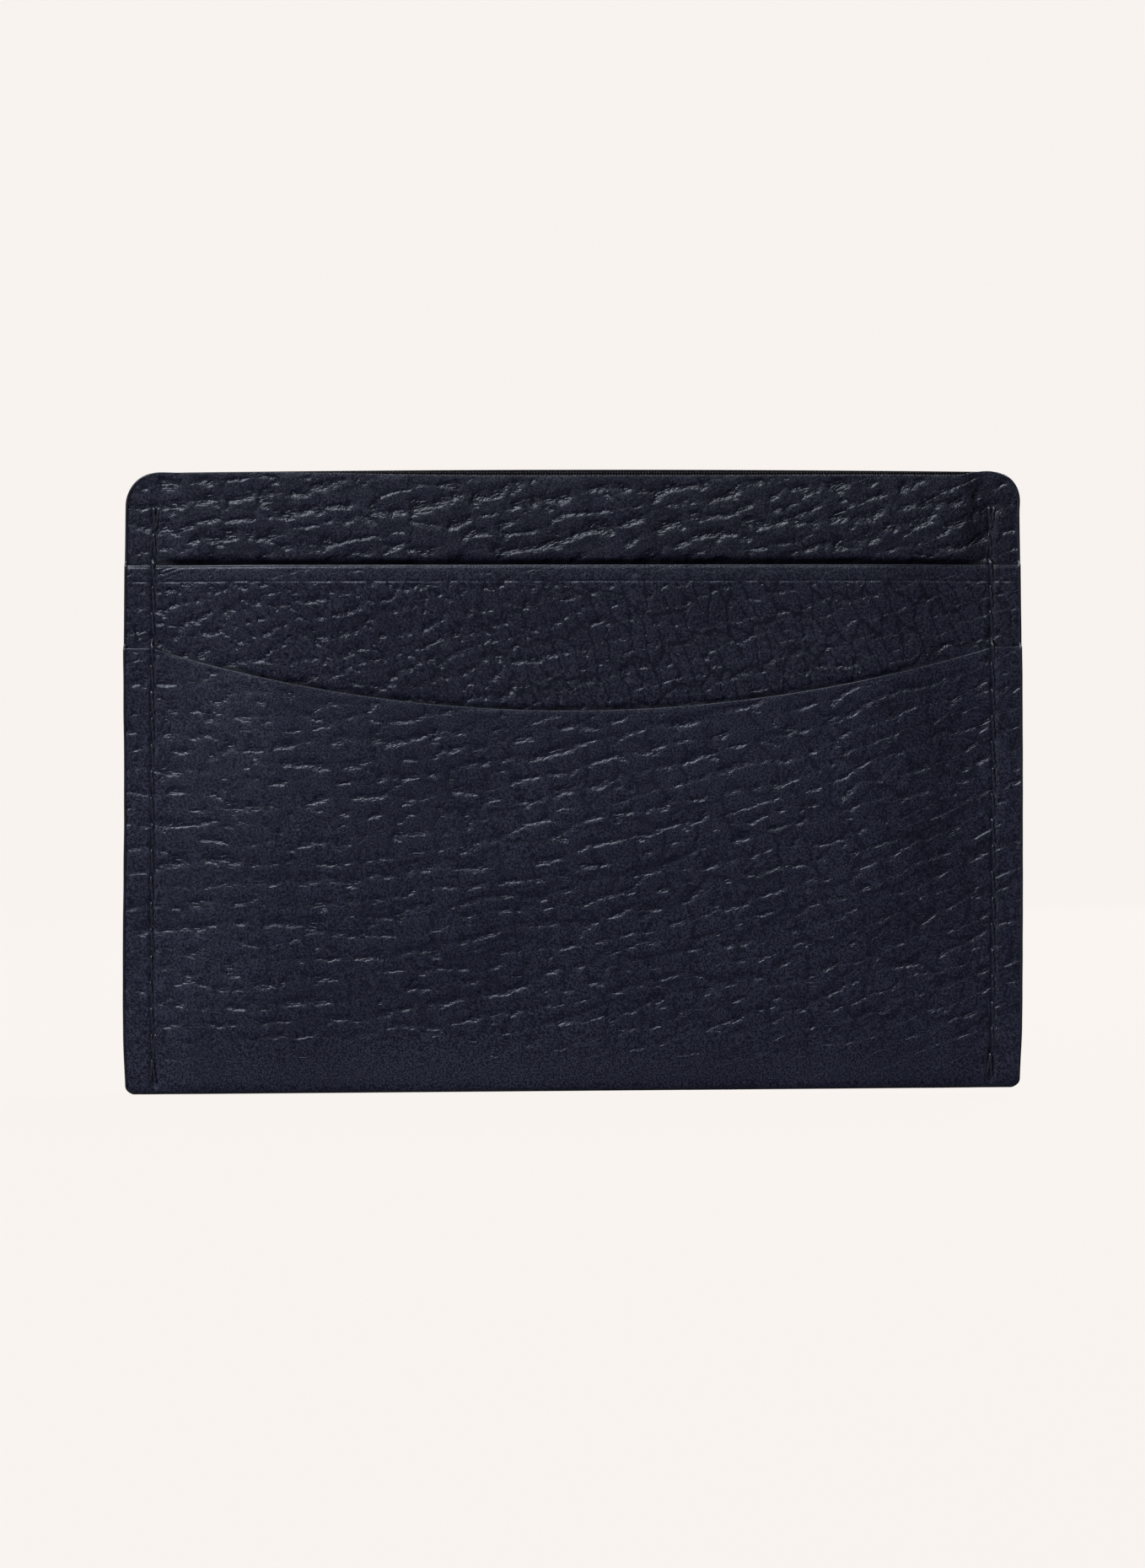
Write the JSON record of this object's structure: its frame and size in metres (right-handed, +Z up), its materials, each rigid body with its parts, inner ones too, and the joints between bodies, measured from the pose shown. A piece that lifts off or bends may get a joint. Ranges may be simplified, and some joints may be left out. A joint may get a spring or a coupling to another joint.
{
  "type": "card holder",
  "caption": "Slim grained leather card holder: two stepped card slots on each side, a fabric-lined pocket between them, side seams and painted edges.",
  "frame": {"origin": "middle of the bottom fold, at its lowest line", "axes": "+X across the holder, to the right as seen from the front; -Y towards the front; +Z up, towards the pockets' mouths"},
  "size_m": [0.1, 0.0076, 0.0693],
  "materials": {
    "grained_leather": "pebbled navy calf leather, soft sheen",
    "lining_fabric": "fine black woven textile",
    "thread": "waxed navy sewing thread",
    "edge_paint": "smooth satin edge paint"
  },
  "bodies": {
    "root": {"outer_shell": "grained_leather", "shell_lining": "lining_fabric", "centre_pocket_lining": "lining_fabric", "front_panel": "grained_leather", "front_upper_pocket": "grained_leather", "front_slot_fabric": "lining_fabric", "front_slot_floor_seam": "thread", "front_panel_edge_paint": "edge_paint", "front_upper_pocket_edge_paint": "edge_paint", "front_lower_pocket_edge_paint": "edge_paint", "back_panel": "grained_leather", "back_upper_pocket": "grained_leather", "back_slot_fabric": "lining_fabric", "back_slot_floor_seam": "thread", "back_panel_edge_paint": "edge_paint", "back_upper_pocket_edge_paint": "edge_paint", "back_lower_pocket_edge_paint": "edge_paint", "left_edge_paint": "edge_paint", "left_seam_front_thread": "thread", "left_seam_back_thread": "thread", "right_edge_paint": "edge_paint", "right_seam_front_thread": "thread", "right_seam_back_thread": "thread"}
  },
  "joints": []
}
